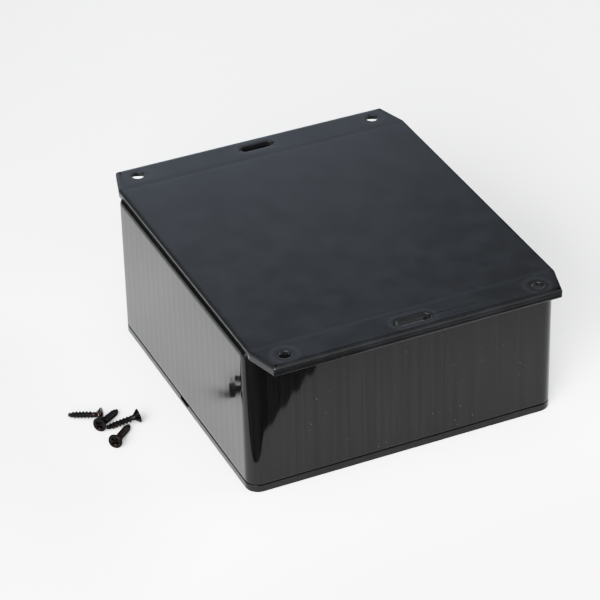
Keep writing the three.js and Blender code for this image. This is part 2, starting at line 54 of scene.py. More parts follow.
def rounded_loop(corners, radii, steps=8, ease=0.6):
    """A closed outline, run anticlockwise, and its outward directions. Each corner becomes an arc
    that starts where its radius touches the sides, with one more point `ease` before and after,
    so that shading stays flat on the straight sides."""
    corner = np.asarray(corners, float)
    before = corner - np.roll(corner, 1, 0)
    after = np.roll(corner, -1, 0) - corner
    before /= np.linalg.norm(before, axis=1)[:, None]
    after /= np.linalg.norm(after, axis=1)[:, None]
    cross = before[:, 0] * after[:, 1] - before[:, 1] * after[:, 0]
    turn = np.arctan2(cross, (before * after).sum(1))
    normal = np.stack([before[:, 1], -before[:, 0]], -1)
    bend = radii * np.sign(turn)
    start = corner - before * (radii * np.tan(np.abs(turn) / 2))[:, None]
    centre = start - normal * bend[:, None]
    angle = np.arctan2(normal[:, 1], normal[:, 0])[:, None] + turn[:, None] * np.linspace(0, 1, steps + 1)
    out = np.stack([np.cos(angle), np.sin(angle)], -1)
    arc = centre[:, None] + out * bend[:, None, None]
    lead, trail = arc[:, :1] - before[:, None] * ease, arc[:, -1:] + after[:, None] * ease
    if not ease:
        return arc.reshape(-1, 2), out.reshape(-1, 2)
    points = np.concatenate([lead, arc, trail], 1)
    outward = np.concatenate([out[:, :1], out, out[:, -1:]], 1)
    return points.reshape(-1, 2), outward.reshape(-1, 2)


def rectangle(x, y, half_x, half_y, radius, steps=8, ease=0.6):
    """A rounded rectangle about (x, y), as a loop."""
    corners = [(half_x, -half_y), (half_x, half_y), (-half_x, half_y), (-half_x, -half_y)]
    return rounded_loop(np.array(corners) + (x, y), radius, steps, ease)


def circle(x, y, radius, steps=48):
    """A circle about (x, y), as a loop."""
    angle = 2 * np.pi * np.arange(steps) / steps
    out = np.stack([np.cos(angle), np.sin(angle)], -1)
    return out * radius + (x, y), out


def hole(loop):
    """The same loop as the edge of an opening: away from the material is towards its middle."""
    return loop[0], -loop[1]


def carry(loop, profile):
    """A profile carried round a loop: point (i, j) lies profile[j][0] outwards from the loop's
    point i, at the height profile[j][1]. The profile may differ from point to point."""
    points, outward = loop
    profile = np.asarray(profile, float)
    profile = np.broadcast_to(profile, (len(points),) + profile.shape[-2:])
    flat = points[:, None] + outward[:, None] * profile[..., :1]
    return np.concatenate([flat, profile[..., 1:]], -1)


def weave(grid, close_rows=True, close_columns=False):
    """The points of a grid and its four-sided faces; each direction may close on itself."""
    rows, columns = grid.shape[:2]
    number = np.arange(rows * columns).reshape(rows, columns)
    if close_rows:
        number = np.concatenate([number, number[:1]], 0)
    if close_columns:
        number = np.concatenate([number, number[:, :1]], 1)
    faces = np.stack([number[:-1, :-1], number[1:, :-1], number[1:, 1:], number[:-1, 1:]], -1)
    return grid.reshape(-1, 3), faces.reshape(-1, 4)


def fill(*loops):
    """Flat triangles inside the first ring of points and outside the other rings."""
    triangles = tessellate_polygon([[Vector(p) for p in loop] for loop in loops])
    return np.concatenate(loops), np.array(triangles)


def rim(low, high, bottom=0.3, top=0.3, flat=0.6, steps=5):
    """The rim of a plate as (outwards, height) pairs: a flat border, a quarter round, the straight
    side with a point near each end, a quarter round and a flat border."""
    turn = np.linspace(0, np.pi / 2, steps + 1)
    upper = np.stack([top * (np.sin(turn) - 1), high + top * (np.cos(turn) - 1)], -1)
    lower = np.stack([bottom * (np.sin(turn) - 1), low - bottom * (np.cos(turn) - 1)], -1)[::-1]
    ease = min(0.5, (high - low - top - bottom) / 4)
    side = [(0, high - top - ease), (0, low + bottom + ease)]
    return np.concatenate([[(-top - flat, high)], upper, side, lower, [(-bottom - flat, low)]])


def slab(outline, low, high, holes=(), **edges):
    """A closed plate with rounded edges: its rim carried round the outline and every opening, and
    the two flat faces filled between them."""
    rims = [carry(loop, rim(low, high, **edges)) for loop in (outline, *map(hole, holes))]
    flats = [fill(*[grid[:, 0] for grid in rims]), fill(*[grid[:, -1] for grid in rims])]
    return [weave(grid) for grid in rims] + flats


def moved(patches, place=(0, 0, 0), turn=None):
    """The same patches, turned by a matrix and then moved."""
    turn = np.eye(3) if turn is None else np.asarray(turn, float)
    return [(points @ turn.T + place, faces) for points, faces in patches]


def piece(name, patches, material, body, nodes=()):
    """One piece from patches in millimetres. Points that meet are merged and faces turned
    outwards; edges sharper than 32 degrees stay sharp. The piece rides on its body."""
    points, faces, count = [], [], 0
    for patch_points, patch_faces in patches:
        points.append(patch_points * 0.001)
        faces.extend((patch_faces + count).tolist())
        count += len(patch_points)
    mesh = bpy.data.meshes.new(name)
    mesh.from_pydata(np.concatenate(points).tolist(), [], faces)
    work = bmesh.new()
    work.from_mesh(mesh)
    bmesh.ops.remove_doubles(work, verts=work.verts, dist=2e-6)
    bmesh.ops.recalc_face_normals(work, faces=work.faces)
    work.to_mesh(mesh)
    work.free()
    mesh.shade_smooth()
    mesh.set_sharp_from_angle(angle=math.radians(32))
    mesh.materials.append(material)
    made = bpy.data.objects.new(name, mesh)
    bpy.context.scene.collection.objects.link(made)
    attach(made, body)
    if nodes:
        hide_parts(*nodes)


class Wire:
    """A shader socket that works in sums: an operator on it adds a Math node."""

    def __init__(self, finish, socket):
        self.finish, self.socket = finish, socket

    def math(self, operation, *values):
        return self.finish.node("Math", {"operation": operation}, dict(enumerate(values)))

    def __add__(self, other):
        return self.math("ADD", self, other)

    def __sub__(self, other):
        return self.math("SUBTRACT", self, other)

    def __rsub__(self, other):
        return self.math("SUBTRACT", other, self)

    def __mul__(self, other):
        return self.math("MULTIPLY", self, other)

    def __truediv__(self, other):
        return self.math("DIVIDE", self, other)

    __radd__, __rmul__ = __add__, __mul__

    def minimum(self, other):
        return self.math("MINIMUM", self, other)

    def maximum(self, other):
        return self.math("MAXIMUM", self, other)

    def size(self):
        return self.math("ABSOLUTE", self)

    def sine(self):
        return self.math("SINE", self)

    def fraction(self):
        return self.math("FRACT", self)

    def length(self, other):
        """The length of the flat vector (self, other)."""
        return self.math("SQRT", self * self + other * other)

    def ramp(self, start, end):
        """0 up to start, 1 from end on, and a smooth rise between; start may be the larger."""
        settings = {"interpolation_type": "SMOOTHSTEP"}
        return self.finish.node("MapRange", settings, {0: self, 1: start, 2: end})


class Finish:
    """A material with a Principled shader, whose uniform values are set on its own sockets."""

    def __init__(self, name, **uniform):
        self.material = bpy.data.materials.new(name)
        self.material.use_nodes = True
        self.tree = self.material.node_tree
        self.shader = self.tree.nodes["Principled BSDF"]
        for socket, value in uniform.items():
            self.shader.inputs[socket.replace("_", " ")].default_value = value

    def node(self, kind, settings=None, values=None, out=0):
        """Adds a node of a type, sets its settings, then gives its sockets values or links."""
        made = self.tree.nodes.new("ShaderNode" + kind)
        for key, value in (settings or {}).items():
            setattr(made, key, value)
        for key, value in (values or {}).items():
            if isinstance(value, Wire):
                self.tree.links.new(value.socket, made.inputs[key])
            else:
                made.inputs[key].default_value = value
        return Wire(self, made.outputs[out])

    def place(self):
        """The three Object coordinates, in millimetres."""
        vector = self.node("TexCoord", out="Object")
        scaled = self.node("VectorMath", {"operation": "SCALE"}, {0: vector, "Scale": 1000.0})
        first = self.node("SeparateXYZ", None, {0: scaled})
        return [Wire(self, output) for output in first.socket.node.outputs]

    def noise(self, size, detail=2.0, stretch=(1, 1, 1), rough=0.5):
        """Noise from 0 to 1 whose blotches are about `size` millimetres across."""
        vector = self.node("TexCoord", out="Object")
        scale = tuple(1000.0 / size / s for s in stretch)
        vector = self.node("Mapping", {"vector_type": "POINT"}, {0: vector, "Scale": scale})
        values = {"Vector": vector, "Scale": 1.0, "Detail": detail, "Roughness": rough}
        return self.node("TexNoise", None, values)

    def cells(self, size):
        """Distance to the nearest of many scattered points, about `size` millimetres apart."""
        vector = self.node("TexCoord", out="Object")
        return self.node("TexVoronoi", None, {"Vector": vector, "Scale": 1000.0 / size})

    def tint(self, factor, first, second):
        """Mixes two colours; each may be a colour or the result of another mix."""
        colours = {6: first, 7: second}
        colours = {k: v if isinstance(v, Wire) else (*v, 1.0) for k, v in colours.items()}
        return self.node("Mix", {"data_type": "RGBA"}, {0: factor, **colours}, out=2)

    def bump(self, height, depth):
        """Raises the surface by height times depth, in millimetres, in the shading."""
        normal = self.node("Bump", None, {"Strength": 1.0, "Distance": depth * 0.001, "Height": height})
        self.link(normal, "Normal")

    def link(self, wire, socket):
        self.tree.links.new(wire.socket, self.shader.inputs[socket])


satin = Finish("satin_black_abs", IOR=1.48)
x, y, z = satin.place()
hole_ring = (x.size() - HOLE_X).length(y.size() - HOLE_Y)
slot_ring = (x.size() - (SLOT_HALF - SLOT_RADIUS)).maximum(0.0).length(y.size() - HOLE_Y)
ring = (hole_ring - RECESS_RADIUS).size().ramp(1.4, 0.2) * z.ramp(59.5, 59.9)
ring = ring + (slot_ring - 2.1 * SLOT_RADIUS).size().ramp(1.2, 0.2) * z.ramp(59.5, 59.9)
sink = (y.size() - 58.8).size().ramp(2.0, 0.0)
mottle = satin.noise(9.0, 3.0)
grain = satin.noise(0.35, 2.0)
dust = satin.cells(4.2).ramp(0.055, 0.03) * satin.noise(14.0).ramp(0.5, 0.62)
tone = satin.tint(mottle.ramp(0.3, 0.75), (0.0065, 0.0070, 0.0078), (0.0105, 0.0112, 0.0126))
tone = satin.tint((ring * 0.5).minimum(1.0), tone, (0.0205, 0.0212, 0.0228))
satin.link(satin.tint(dust * 0.5, tone, (0.10, 0.10, 0.10)), "Base Color")
face = z.ramp(57.6, 59.0)
rough = 0.24 + 0.08 * mottle + 0.05 * ring + 0.05 * sink + 0.12 * dust
satin.link(0.07 + 0.02 * mottle + face * rough, "Roughness")
satin.bump(face * (0.8 * grain + 0.7 * mottle - 1.4 * sink + 0.5 * ring), 0.012)

plate_corners = np.array([
    (PLATE_HALF, -WALL_OUT), (PLATE_HALF, WALL_OUT), (EAR_HALF, EAR_END), (-EAR_HALF, EAR_END),
    (-PLATE_HALF, WALL_OUT), (-PLATE_HALF, -WALL_OUT), (-EAR_HALF, -EAR_END), (EAR_HALF, -EAR_END),
])
plate_radii = np.array([1.5, 1.5, 0.9, 0.9, 1.5, 1.5, 0.9, 0.9])
slots = [rectangle(0, side * HOLE_Y, SLOT_HALF, SLOT_RADIUS, SLOT_RADIUS - 0.001, 16, 0.2)
         for side in (-1, 1)]
screw_holes = [circle(sx * HOLE_X, sy * HOLE_Y, HOLE_RADIUS) for sx in (-1, 1) for sy in (-1, 1)]
turn = np.linspace(0, np.pi / 2, 6)
step_out = HOLE_RADIUS - RECESS_RADIUS
hole_side = np.concatenate([
    [(-0.95, PLATE_TOP)], np.stack([0.3 * (np.sin(turn) - 1), PLATE_TOP + 0.3 * (np.cos(turn) - 1)], -1),
    [(0, RECESS_TOP + 0.1), (-0.1, RECESS_TOP), (step_out, RECESS_TOP), (step_out, PLATE_UNDER + 0.3),
     (step_out - 0.25, PLATE_UNDER), (step_out - 0.8, PLATE_UNDER)],
])
plate_rims = [carry(rounded_loop(plate_corners, plate_radii), rim(PLATE_UNDER, PLATE_TOP, 0.3, 1.0, 0.9))]
plate_rims += [carry(hole(slot), rim(PLATE_UNDER, PLATE_TOP, 0.3, 0.3)) for slot in slots]
plate_rims += [carry(hole(opening), hole_side) for opening in screw_holes]
plate = [weave(grid) for grid in plate_rims]
plate += [fill(*[grid[:, end] for grid in plate_rims]) for end in (0, -1)]
piece("flange_plate", plate, satin.material, "housing", ["housing"])


# ---------------------------------------------------------------- housing walls
# Four polished ABS walls moulded with the plate: upright corners of 5 mm radius and a rounded
# shoulder under the plate. Sink over the card guides inside gives faint upright streaks. The
# right wall has round openings for the ports.
WALL, WALL_END, WALL_TOP, CORNER, SHOULDER = 2.4, 3.3, 58.8, 5.0, 3.0
GUIDE_PITCH = 5.08
BOARD_MID, JACK_MID, PIPE_MID = 36.0, 29.6, 33.2
PORT_Y, JACK_Y, PIPE_Y = 26.0, -3.0, 11.0
PORT_GAP, BARREL_RADIUS, NOSE_RADIUS, PIPE_RADIUS = 0.3, 4.7, 3.8, 1.5


def polished(name, streak):
    """Polished black ABS: faint dust and wiping marks, and upright streaks of a given depth in
    millimetres every guide pitch."""
    made = Finish(name, IOR=1.41)
    x, y = made.place()[:2]
    side = x.size().ramp(58.4, 59.2)
    along = side * y + (1.0 - side) * x
    wave = (along * (2 * math.pi / GUIDE_PITCH)).sine()
    drawn = made.noise(1.6, 1.0, (1, 1, 60))
    film = made.noise(1.1, 3.0, (1, 1, 80), 0.7).ramp(0.35, 0.7)
    ripple = made.noise(16.0, 1.0)
    wipe = made.noise(5.0, 3.0, (1, 1, 3))
    dust = made.cells(3.1).ramp(0.075, 0.04) * made.noise(11.0).ramp(0.48, 0.6)
    lint = made.cells(1.3).ramp(0.06, 0.03) * made.noise(7.0).ramp(0.5, 0.7)
    speck = dust.maximum(lint)
    tone = made.tint(film * 0.7 + wipe * 0.3, (0.0018, 0.0019, 0.0020), (0.0078, 0.0079, 0.0080))
    made.link(made.tint(speck * 0.6, tone, (0.16, 0.155, 0.15)), "Base Color")
    made.link(0.045 + 0.035 * wipe + 0.25 * speck, "Roughness")
    made.bump(wave * streak * 0.6 + drawn * streak * 0.5 + ripple * 0.05, 1.0)
    return made.material


gloss = polished("polished_black_abs", 0.009)
body_outline = rectangle(0, 0, WALL_OUT, WALL_OUT, CORNER, 12)
turn = np.linspace(0, np.pi / 2, 9)
foot = np.linspace(0, np.pi / 2, 5)
shoulder = np.stack([SHOULDER * (np.cos(turn) - 1), WALL_TOP + SHOULDER * (np.sin(turn) - 1)], -1)
outer_foot = np.stack([-0.35 + 0.35 * np.sin(foot), WALL_END + 0.35 * (1 - np.cos(foot))], -1)
inner_foot = np.stack([-WALL + 0.3 * (1 - np.cos(foot)), WALL_END + 0.3 * (1 - np.sin(foot))], -1)
wall_profile = np.concatenate([
    outer_foot, [(0, WALL_END + 1.0), (0, WALL_TOP - SHOULDER - 0.5)], shoulder,
    [(-WALL, WALL_TOP), (-WALL, WALL_TOP - 0.5), (-WALL, WALL_END + 1.0)], inner_foot,
])
wall_grid = carry(body_outline, wall_profile)
wall_points, wall_faces = weave(wall_grid, True, True)
right_side = len(body_outline[0]) // 4 - 1
tall = np.abs(np.roll(wall_profile[:, 1], -1) - wall_profile[:, 1]) > 40
keep = np.ones((len(wall_grid), len(wall_profile)), bool)
keep[right_side, tall] = False
walls = [(wall_points, wall_faces[keep.ravel()])]


def upright_ring(radius, x, y, z, steps=48):
    """A circle in the plane across X, as a ring of points."""
    flat = circle(y, z, radius, steps)[0]
    return np.concatenate([np.full((steps, 1), float(x)), flat], 1)


ports = [(-PORT_Y, BOARD_MID, BARREL_RADIUS), (PORT_Y, BOARD_MID, BARREL_RADIUS),
         (JACK_Y, JACK_MID, NOSE_RADIUS), (PIPE_Y, PIPE_MID, PIPE_RADIUS)]
BORE_EDGE = 0.25
bores = []
for port_y, port_z, radius in ports:
    bore = radius + PORT_GAP
    steps_in = ((bore + BORE_EDGE, WALL_OUT), (bore, WALL_OUT - BORE_EDGE), (bore, WALL_OUT - WALL))
    bores.append(np.stack([upright_ring(size, port_x, port_y, port_z) for size, port_x in steps_in], 1))
for column in np.flatnonzero(tall):
    nearby = [wall_grid[right_side, column], wall_grid[right_side + 1, column],
              wall_grid[right_side + 1, column + 1], wall_grid[right_side, column + 1]]
    end = 0 if nearby[0][0] > WALL_OUT - 1 else -1
    walls.append(fill(np.array(nearby), *[grid[:, end] for grid in bores]))
walls += [weave(grid) for grid in bores]
piece("housing_walls", walls, gloss, "housing", ["housing"])


# ---------------------------------------------------------------- inside of the housing
# Four corner posts take the cover screws in blind pilot holes, four round standoffs hold the
# circuit board, and upright guide ribs run down the walls. All are moulded with the housing.
POST, POST_HALF, PILOT_RADIUS, PILOT_DEPTH = 53.5, 4.3, 1.65, 14.0
ROOF = PLATE_UNDER + 0.2
RIB_DEPTH, RIB_HALF, RIB_FOOT, RIB_COUNT, PORT_CLEAR = 1.6, 0.65, 6.0, 20, 34.0
STANDOFF_RADIUS, STANDOFF_END, FIXING_X, FIXING_Y = 3.5, 36.9, (-36.5, 44.0), (-41.0, 41.0)
FIXING_RADIUS, FIXING_TOP = 1.7, 45.4


def turned(profile, steps=48):
    """A profile of (radius, height) pairs turned about the Z axis. An end on the axis closes it."""
    radius, height = np.asarray(profile, float).T
    angle = 2 * np.pi * np.arange(steps)[:, None] / steps
    grid = [radius * np.cos(angle), radius * np.sin(angle), height + 0 * angle]
    return weave(np.stack(grid, -1))


def quarter_turn(quarter):
    """The matrix that turns about the Z axis by a number of quarters."""
    angle = quarter * math.pi / 2
    along, across = round(math.cos(angle)), round(math.sin(angle))
    return np.array([(along, -across, 0), (across, along, 0), (0, 0, 1)])


inside = []
blind = [(-0.9, WALL_END), (-0.25, WALL_END), (0, WALL_END + 0.25), (0, WALL_END + 1),
         (0, WALL_END + PILOT_DEPTH)]
for sx in (-1, 1):
    for sy in (-1, 1):
        post = carry(rectangle(sx * POST, sy * POST, POST_HALF, POST_HALF, 2.4, 6, 0.3),
                     rim(WALL_END, ROOF, 0.25, 0.1))
        pilot = carry(hole(circle(sx * POST, sy * POST, PILOT_RADIUS, 32)), blind)
        inside += [weave(post), weave(pilot), fill(post[:, 0]), fill(post[:, -1], pilot[:, 0]),
                   fill(pilot[:, -1])]
standoff = [(0, FIXING_TOP), (FIXING_RADIUS, FIXING_TOP - 0.5), (FIXING_RADIUS, STANDOFF_END + 0.4),
            (FIXING_RADIUS + 0.2, STANDOFF_END), (STANDOFF_RADIUS - 0.3, STANDOFF_END),
            (STANDOFF_RADIUS, STANDOFF_END + 0.3), (STANDOFF_RADIUS, ROOF - 0.8),
            (STANDOFF_RADIUS + 0.6, ROOF), (0, ROOF)]
for fx in FIXING_X:
    for fy in FIXING_Y:
        inside += moved([turned(standoff, 40)], (fx, fy, 0))
inner = WALL_OUT - WALL
rib_plan = rectangle(inner + 0.2 - RIB_DEPTH / 2 - 0.1, 0, RIB_DEPTH / 2 + 0.1, RIB_HALF, 0.25, 1, 0)
rib_sides = carry(rib_plan, [(0, ROOF), (0, WALL_END + RIB_FOOT + 0.3), (-0.3, WALL_END + RIB_FOOT)])
rib = [weave(rib_sides), fill(rib_sides[:, 0]), fill(rib_sides[:, -1])]
for quarter in range(4):
    for step in range(RIB_COUNT):
        offset = (step - (RIB_COUNT - 1) / 2) * GUIDE_PITCH
        if quarter or abs(offset) > PORT_CLEAR:
            inside += moved(moved(rib, (0, offset, 0)), turn=quarter_turn(quarter))
piece("housing_inside", inside, gloss, "housing", ["housing"])


# ---------------------------------------------------------------- cover
# The flat ABS cover closes the walls' open end and is what the booster stands on. It has a
# locating lip, four countersunk screw holes that open underneath, and a pry notch on its left.
COVER_TOP, NOTCH_HALF, NOTCH_DEPTH, NOTCH_FLOOR = 3.0, 3.5, 2.4, 1.6
SINK_MOUTH, SINK_BORE = 3.0, 1.65
LIP_OUT, LIP_THICK, LIP_END, LIP_TOP = 57.3, 1.8, 48.9, 6.0

cover_abs = polished("polished_cover_abs", 0.004)
outline, outward = rectangle(0, 0, WALL_OUT, WALL_OUT, CORNER, 12)
left = 3 * (len(outline) // 4)
cuts = np.array([(-WALL_OUT, end) for end in (NOTCH_HALF, NOTCH_HALF, -NOTCH_HALF, -NOTCH_HALF)])
outline = np.insert(outline, left, cuts, 0)
outward = np.insert(outward, left, np.tile((-1.0, 0.0), (4, 1)), 0)
turn = np.linspace(0, np.pi / 2, 6)
edge_top = np.stack([0.25 * (np.sin(turn) - 1), COVER_TOP + 0.25 * (np.cos(turn) - 1)], -1)
edge_low = np.stack([0.5 * (np.cos(turn) - 1), 0.5 * (1 - np.sin(turn))], -1)
top_border = [(-NOTCH_DEPTH - 0.6, COVER_TOP), (-NOTCH_DEPTH, COVER_TOP)]
upright = [(0, NOTCH_FLOOR), (0, NOTCH_FLOOR), (0, 0.9)]
plain = np.concatenate([top_border, edge_top, upright, edge_low, [(-3.0, 0)]])
notched = plain.copy()
notched[2:2 + len(edge_top)] = (-NOTCH_DEPTH, COVER_TOP)
notched[2 + len(edge_top)] = (-NOTCH_DEPTH, NOTCH_FLOOR)
profiles = np.broadcast_to(plain, (len(outline),) + plain.shape).copy()
profiles[left + 1:left + 3] = notched
cover_rim = carry((outline, outward), profiles)
mouth = SINK_BORE - SINK_MOUTH
sink_profile = [(mouth - 0.7, 0), (mouth, 0), (mouth, 0.35), (0, 1.7), (0, COVER_TOP - 0.15),
                (-0.15, COVER_TOP), (-0.8, COVER_TOP)]
sinks = [carry(hole(circle(sx * POST, sy * POST, SINK_BORE)), sink_profile)
         for sx in (-1, 1) for sy in (-1, 1)]
cover = [weave(cover_rim), fill(cover_rim[:, 0], *[grid[:, -1] for grid in sinks]),
         fill(cover_rim[:, -1], *[grid[:, 0] for grid in sinks])]
cover += [weave(grid) for grid in sinks]
bar = rectangle(LIP_OUT - LIP_THICK / 2, 0, LIP_THICK / 2, LIP_END, 0.3, 3, 0.3)
lip = slab(bar, COVER_TOP - 0.2, LIP_TOP, top=0.4, bottom=0.05, flat=0.2, steps=4)
for quarter in range(4):
    cover += moved(lip, turn=quarter_turn(quarter))
piece("cover_plate", cover, cover_abs, "cover", ["cover"])


# ---------------------------------------------------------------- cover screws
# Four number 4 self-tapping screws lie loose beside the box: rolled thread, countersunk head,
# pressed cross recess. Steel with a black oxide finish that wears to brown in scattered patches.
SCREW_LENGTH, HEAD_RADIUS, HEAD_RIM = 12.7, 2.7, 0.35
CREST, ROOT, PITCH, TIP_RADIUS, TIP_TAPER = 1.38, 0.92, 1.32, 0.62, 2.4

oxide = Finish("black_oxide_steel", Metallic=1.0)
wear = oxide.noise(1.1, 4.0)
fine = oxide.noise(0.22, 3.0)
rub = (wear * 0.6 + fine * 0.4).ramp(0.52, 0.72)
tone = oxide.tint(fine, (0.010, 0.010, 0.011), (0.028, 0.027, 0.028))
oxide.link(oxide.tint(rub * 0.6, tone, (0.30, 0.16, 0.10)), "Base Color")
oxide.link(0.14 + 0.14 * fine, "Roughness")
oxide.bump(fine + wear, 0.004)

half = np.array([0, 0.14, 0.36, 0.44, 0.75, 1.1, 1.42, 1.55, 1.8])
lines = np.concatenate([-half[:0:-1], half])
gx, gy = np.meshgrid(lines, lines, indexing="ij")
far, near = np.maximum(abs(gx), abs(gy)), np.minimum(abs(gx), abs(gy))
arm = (near < 0.4) & (far < 1.5)
recess = np.where(arm, np.clip((1.95 - far) * 1.05, 0, 1.9), 0)
face = np.stack([gx, gy, -recess], -1)
border = np.concatenate([face[:-1, 0], face[-1, :-1], face[:0:-1, -1], face[0, :0:-1]])
angle = np.arctan2(border[:, 1], border[:, 0])
drop = np.linspace(3.0, SCREW_LENGTH - 0.25, 150)
level = SCREW_LENGTH - drop
swell = np.clip((drop - 2.0) / 1.6, 0, 1) * np.clip(level / TIP_TAPER, 0, 1) ** 0.5
core = np.where(level < TIP_TAPER, TIP_RADIUS + (ROOT - TIP_RADIUS) * (level / TIP_TAPER), ROOT)
phase = (drop / PITCH - angle[:, None] / (2 * np.pi)) % 1.0
tooth = np.clip(1 - np.abs(phase - 0.5) / 0.34, 0, 1)
shank = core + (CREST - ROOT) * swell * tooth
head = np.array([
    (2.2, 0.0), (HEAD_RADIUS - 0.12, 0.0), (HEAD_RADIUS - 0.03, 0.04), (HEAD_RADIUS, 0.12),
    (HEAD_RADIUS, HEAD_RIM), (HEAD_RADIUS - 0.05, HEAD_RIM + 0.06), (1.35, 1.72), (1.15, 1.95),
    (1.06, 2.3), (1.04, 2.8),
])
radii = np.concatenate([np.broadcast_to(head[:, 0], (len(angle), len(head))), shank,
                        np.broadcast_to([TIP_RADIUS - 0.12, 0.0], (len(angle), 2))], 1)
depths = np.concatenate([head[:, 1], drop, [SCREW_LENGTH, SCREW_LENGTH]])
side = np.stack([radii * np.cos(angle)[:, None], radii * np.sin(angle)[:, None],
                 np.broadcast_to(-depths, radii.shape)], -1)
side = np.concatenate([border[:, None], side], 1)
screw = [weave(face, False, False), weave(side)]
for number in range(1, 5):
    name = f"cover_screw_{number}"
    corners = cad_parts[name].data.vertices
    spots = np.zeros(len(corners) * 3, np.float32)
    corners.foreach_get("co", spots)
    spots = spots.reshape(-1, 3).astype(float) * 1000
    middle = spots.mean(0)
    axis = np.linalg.svd(spots - middle, full_matrices=False)[2][0]
    reach = (spots - middle) @ axis
    width = np.linalg.norm(spots - middle - reach[:, None] * axis, axis=1)
    if width[reach > 0].max() > width[reach < 0].max():
        axis, reach = -axis, -reach
    head_at = middle + axis * reach.min()
    across = np.cross((0, 0, 1), axis)
    across /= np.linalg.norm(across)
    roll = math.radians((20, 35, 75, 35)[number - 1])
    first = across * math.cos(roll) + np.cross(axis, across) * math.sin(roll)
    turn_to = np.stack([first, np.cross(-axis, first), -axis], 1)
    piece(f"loose_screw_{number}", moved(screw, head_at, turn_to), oxide.material, f"screw_{number}",
          [name])


# ---------------------------------------------------------------- circuit board
# A glass-epoxy board hangs under the standoffs: green solder mask over copper tracks, with
# tinned lands. Four pan-head zinc screws hold it.
def dress(finish, slot, *nodes):
    """Gives CAD nodes a finish in place of their packed one."""
    for node in nodes:
        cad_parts[node].data.materials.clear()
        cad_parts[node].data.materials.append(finish.material)


mask = Finish("green_solder_mask", IOR=1.5)
tracks = mask.noise(7.0, 0.0, (1, 6, 1)).ramp(0.52, 0.55) * mask.noise(7.0, 0.0, (6, 1, 1)).ramp(0.6, 0.4)
lands = mask.cells(3.4).ramp(0.16, 0.13) * mask.noise(12.0, 1.0).ramp(0.5, 0.52)
weave_tone = mask.noise(0.8, 2.0)
tone = mask.tint(tracks, (0.006, 0.060, 0.024), (0.012, 0.105, 0.042))
tone = mask.tint(weave_tone * 0.25, tone, (0.020, 0.090, 0.045))
mask.link(mask.tint(lands, tone, (0.62, 0.60, 0.56)), "Base Color")
mask.link(lands * 0.9, "Metallic")
mask.link(0.32 + 0.15 * weave_tone - 0.08 * lands, "Roughness")
mask.bump(tracks + lands, 0.035)
dress(mask, "board", "main_board")

zinc = Finish("bright_zinc", Metallic=1.0)
swirl = zinc.noise(1.4, 3.0, (1, 1, 4))
stain = zinc.noise(3.2, 2.0)
zinc.link(zinc.tint(stain.ramp(0.4, 0.8), (0.60, 0.61, 0.63), (0.44, 0.46, 0.50)), "Base Color")
zinc.link(0.22 + 0.2 * swirl, "Roughness")
zinc.bump(swirl, 0.004)
dress(zinc, "zinc", *[f"board_screw_{n}" for n in range(1, 5)])


# ---------------------------------------------------------------- shielded amplifiers
# Each amplifier chip sits under a pressed tinplate can soldered to the board. The cans are
# bright rolled sheet with rows of small vent holes. The holes are not cut: each is a dark prick of painted
# shade.
VENT_PITCH = 4.0

tin = Finish("rolled_tinplate_painted_vent_shade", Metallic=1.0)
x, y = tin.place()[:2]
# Painted shade: a near-black prick at each vent hole stands for the shade inside it; the same mask also
# roughens and sinks the surface there.
vent_holes_painted_shade = ((x / VENT_PITCH).fraction() - 0.5).length((y / VENT_PITCH).fraction() - 0.5).ramp(0.16, 0.12)
rolled = tin.noise(0.6, 3.0, (12, 1, 1))
haze = tin.noise(6.0, 2.0)
tone = tin.tint(haze, (0.62, 0.63, 0.65), (0.50, 0.51, 0.54))
tin.link(tin.tint(vent_holes_painted_shade, tone, (0.02, 0.02, 0.02)), "Base Color")
tin.link(0.24 + 0.16 * rolled + 0.3 * vent_holes_painted_shade, "Roughness")
tin.bump(rolled * 0.3 - vent_holes_painted_shade, 0.01)
dress(tin, "tinplate", "uplink_shield", "downlink_shield")

epoxy = Finish("moulded_chip_epoxy", IOR=1.55)
speckle = epoxy.noise(0.25, 4.0)
blush = epoxy.noise(4.0, 2.0)
epoxy.link(epoxy.tint(speckle.ramp(0.45, 0.7), (0.012, 0.012, 0.013), (0.042, 0.042, 0.045)), "Base Color")
epoxy.link(0.5 + 0.2 * blush, "Roughness")
epoxy.bump(speckle, 0.01)
dress(epoxy, "chip", "uplink_amplifier", "downlink_amplifier", "controller_chip", "regulator_chip")


# ---------------------------------------------------------------- duplexers and lamp
# Ceramic block duplexers, fired and silver-plated round their bores, and the lamp behind the
# light pipe, whose case is white moulded resin.
fired = Finish("fired_ceramic", IOR=1.6)
grit = fired.noise(0.4, 4.0)
cloud = fired.noise(5.0, 2.0)
fired.link(fired.tint(grit.ramp(0.35, 0.75), (0.52, 0.49, 0.42), (0.66, 0.63, 0.56)), "Base Color")
fired.link(0.45 + 0.2 * cloud, "Roughness")
fired.bump(grit, 0.015)
dress(fired, "ceramic", "uplink_duplexer", "downlink_duplexer", "status_led")


# ---------------------------------------------------------------- power parts
# The supply's inductor is a pressed ferrite block. Its two electrolytic capacitors are drawn
# aluminium cans, and the heat sink is extruded aluminium; both have fine lines along Z.
ferrite = Finish("pressed_ferrite", IOR=1.6)
grit = ferrite.noise(0.3, 4.0)
ferrite.link(ferrite.tint(grit, (0.020, 0.020, 0.022), (0.060, 0.060, 0.064)), "Base Color")
ferrite.link(0.55 + 0.25 * grit, "Roughness")
ferrite.bump(grit, 0.02)
dress(ferrite, "ferrite", "power_inductor")

drawn = Finish("drawn_aluminium", Metallic=1.0)
lines_up = drawn.noise(0.5, 3.0, (1, 1, 10))
smear = drawn.noise(3.0, 2.0)
drawn.link(drawn.tint(smear, (0.60, 0.61, 0.62), (0.47, 0.48, 0.50)), "Base Color")
drawn.link(0.3 + 0.2 * lines_up, "Roughness")
drawn.bump(lines_up, 0.006)
dress(drawn, "aluminium", "capacitor_1", "capacitor_2", "heat_sink")


